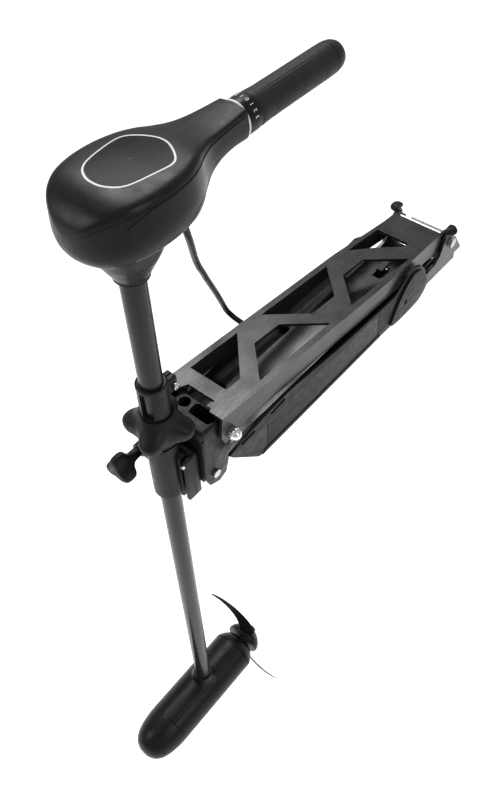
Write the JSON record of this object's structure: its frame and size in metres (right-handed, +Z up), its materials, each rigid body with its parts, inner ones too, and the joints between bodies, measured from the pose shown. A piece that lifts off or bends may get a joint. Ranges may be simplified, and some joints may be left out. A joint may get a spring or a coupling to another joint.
{
  "type": "trolling motor",
  "caption": "Bow-mounted electric trolling motor with a tiller head, a shaft through a clamp collar, a folding arm mount and a submerged motor with a two-bladed propeller.",
  "frame": {"origin": "middle of the base's underside, which sits on the deck", "axes": "+Z up along the shaft, +Y inboard over the deck, -Y outboard, X across the mount"},
  "size_m": [0.1702, 0.86, 1.3039],
  "materials": {
    "housing": "satin black moulded plastic and painted motor",
    "gloss": "gloss black inset",
    "painted": "black anodised and painted aluminium",
    "cover": "textured black moulded cover",
    "rubber": "black rubber and soft grip",
    "composite": "dark composite tube",
    "steel": "stainless steel",
    "chrome": "bright plated",
    "bushing": "bearing plastic",
    "light": "inset panel",
    "copper": "copper winding",
    "magnet": "ferrite magnet",
    "board": "insulating board",
    "cable": "cable jacket"
  },
  "bodies": {
    "base": {"base_channel": "painted", "side_cover_right": "cover", "side_cover_left": "cover", "hinge_plate_right": "painted", "hinge_plate_left": "painted", "bumper_right": "rubber", "bumper_left": "rubber", "rear_pivot_bolt": "steel", "rear_pivot_nut": "steel", "link_pivot_pin": "steel", "latch_catch": "steel"},
    "arm": {"arm_channel": "painted", "carrier_pivot_bolt": "steel", "acorn_nut_right": "chrome", "acorn_nut_left": "chrome", "arm_cross_rod": "steel", "cable_grommet": "rubber", "power_cable": "cable"},
    "link": {"lower_link": "painted", "latch_pin": "steel"},
    "latch": {"release_latch": "steel"},
    "carrier": {"carrier_casting": "painted", "pivot_housing": "painted", "upper_bushing": "bushing", "lower_bushing": "bushing", "link_front_bolt": "steel", "housing_screw": "steel"},
    "knob": {"tension_stud": "steel", "tension_knob": "rubber"},
    "collar": {"depth_collar": "housing", "collar_screw": "steel"},
    "clamp": {"clamp_knob": "rubber"},
    "shaft": {"shaft_tube": "composite", "head_lower_housing": "housing", "head_top_cover": "housing", "top_panel": "light", "side_panel_right": "gloss", "side_panel_left": "gloss", "handle_core": "composite", "index_ring": "housing", "speed_switch": "bushing", "terminal_block": "board", "cable_gland": "rubber", "motor_housing": "housing", "nose_cone": "housing", "tail_cap": "housing", "shaft_seal": "rubber", "brush_plate": "board", "front_bearing": "steel", "magnet_right": "magnet", "magnet_left": "magnet"},
    "grip": {"twist_grip": "rubber", "switch_spindle": "steel"},
    "screw": {"armature": "copper", "motor_shaft": "steel", "propeller": "housing", "drive_pin": "steel", "propeller_nut": "housing"}
  },
  "joints": [
    {"name": "arm_fold", "type": "hinge", "parent": "base", "child": "arm", "pos_m": [0, 0.213, 0.058], "axis": [-1, 0, 0], "range_deg": [0, 70]},
    {"name": "link_swing", "type": "hinge", "parent": "base", "child": "link", "pos_m": [0, 0.189, 0.029], "axis": [-1, 0, 0], "range_deg": [0, 72]},
    {"name": "latch_release", "type": "hinge", "parent": "link", "child": "latch", "pos_m": [0, 0.085, 0.042], "axis": [-1, 0, 0], "range_deg": [-13, 0]},
    {"name": "carrier_tilt", "type": "hinge", "parent": "arm", "child": "carrier", "pos_m": [0, -0.333, 0.105], "axis": [-1, 0, 0], "range_deg": [-36, 0], "deforming": ["power_cable"]},
    {"name": "tension_knob_turn", "type": "hinge", "parent": "carrier", "child": "knob", "pos_m": [-0.035, -0.405, 0.08], "axis": [0, -1, 0], "range_deg": [-90, 270]},
    {"name": "steering", "type": "hinge", "parent": "carrier", "child": "collar", "pos_m": [0, -0.405, 0.122], "axis": [0, 0, 1], "range_deg": [-180, 180]},
    {"name": "clamp_knob_turn", "type": "hinge", "parent": "collar", "child": "clamp", "pos_m": [0, -0.405, 0.15], "axis": [0, 0, 1], "range_deg": [0, 120]},
    {"name": "depth_slide", "type": "slide", "parent": "collar", "child": "shaft", "axis": [0, 0, 1], "range_m": [-0.138, 0.4]},
    {"name": "speed_grip", "type": "hinge", "parent": "shaft", "child": "grip", "pos_m": [0, -0.2246, 0.476], "axis": [0, 1, 0], "range_deg": [-67.5, 112.5]},
    {"name": "propeller_spin", "type": "hinge", "parent": "shaft", "child": "screw", "pos_m": [0, -0.405, -0.694], "axis": [0, 1, 0], "continuous": true}
  ],
  "couplings": [
    {"joint": "link_swing", "follows": "arm_fold", "ratio": 1.006},
    {"joint": "carrier_tilt", "follows": "arm_fold", "ratio": -0.5}
  ]
}
